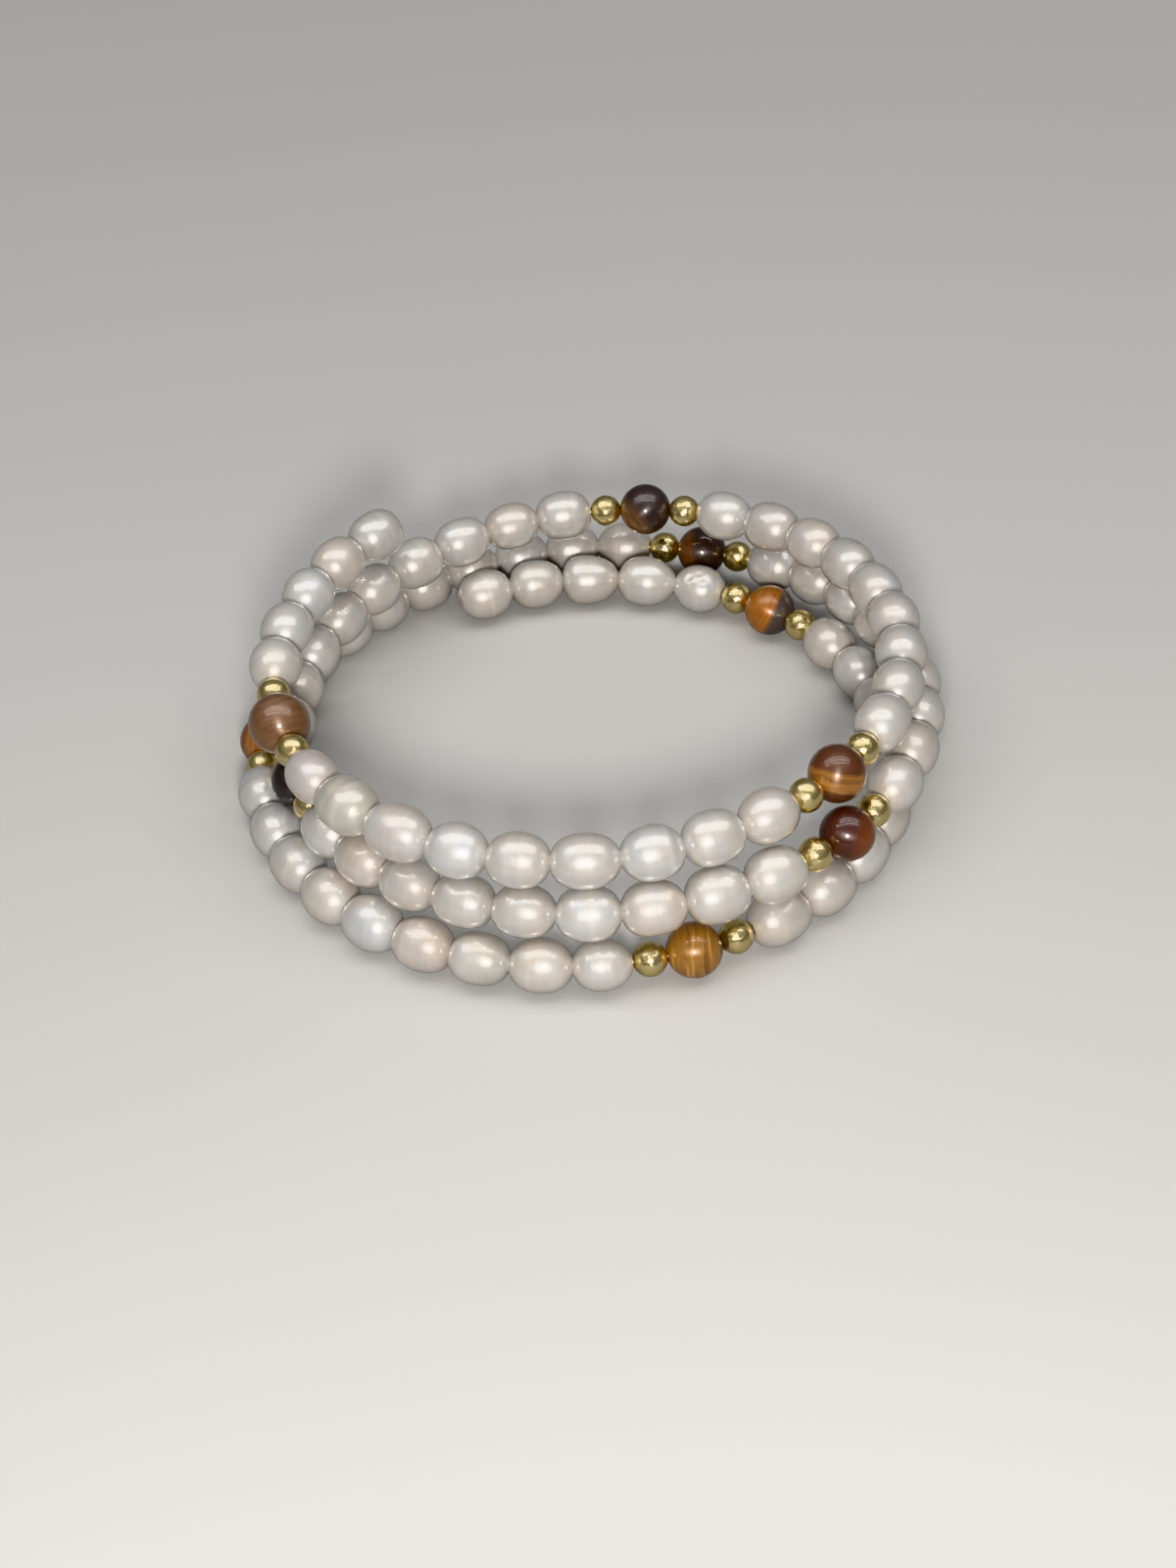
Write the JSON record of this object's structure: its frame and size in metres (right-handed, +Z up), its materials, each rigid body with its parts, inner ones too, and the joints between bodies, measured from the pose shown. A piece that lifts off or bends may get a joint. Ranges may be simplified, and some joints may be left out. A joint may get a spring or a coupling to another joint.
{
  "type": "pearl bracelet",
  "caption": "Coiled memory-wire bracelet of rice pearls with tiger's-eye balls and gold-coloured spacer beads, lying on a surface.",
  "frame": {"origin": "on the surface that the bracelet lies on, under the middle of its box, inside the wrist opening", "axes": "+Z up along the coil's axis; -Y is the front, where the coils stand stacked; the upper wire end is at -X +Y on top and the lower one is on the surface at +Y inside"},
  "size_m": [0.0803, 0.0822, 0.0195],
  "materials": {
    "pearl": "polished nacre, cream white with a satin gloss",
    "tiger_eye": "polished banded stone, golden brown to dark brown",
    "gold": "polished pale gold plate, lightly scuffed",
    "wire": "bright spring wire"
  },
  "bodies": {
    "root": {"memory_wire": "wire", "pearl_run_01": "pearl", "pearl_run_02": "pearl", "pearl_run_03": "pearl", "pearl_run_04": "pearl", "pearl_run_05": "pearl", "pearl_run_06": "pearl", "pearl_run_07": "pearl", "pearl_run_08": "pearl", "pearl_run_09": "pearl", "pearl_run_10": "pearl", "tiger_eye_1": "tiger_eye", "tiger_eye_2": "tiger_eye", "tiger_eye_3": "tiger_eye", "tiger_eye_4": "tiger_eye", "tiger_eye_5": "tiger_eye", "tiger_eye_6": "tiger_eye", "tiger_eye_7": "tiger_eye", "tiger_eye_8": "tiger_eye", "tiger_eye_9": "tiger_eye", "gold_bead_01": "gold", "gold_bead_02": "gold", "gold_bead_03": "gold", "gold_bead_04": "gold", "gold_bead_05": "gold", "gold_bead_06": "gold", "gold_bead_07": "gold", "gold_bead_08": "gold", "gold_bead_09": "gold", "gold_bead_10": "gold", "gold_bead_11": "gold", "gold_bead_12": "gold", "gold_bead_13": "gold", "gold_bead_14": "gold", "gold_bead_15": "gold", "gold_bead_16": "gold", "gold_bead_17": "gold", "gold_bead_18": "gold"}
  },
  "joints": []
}
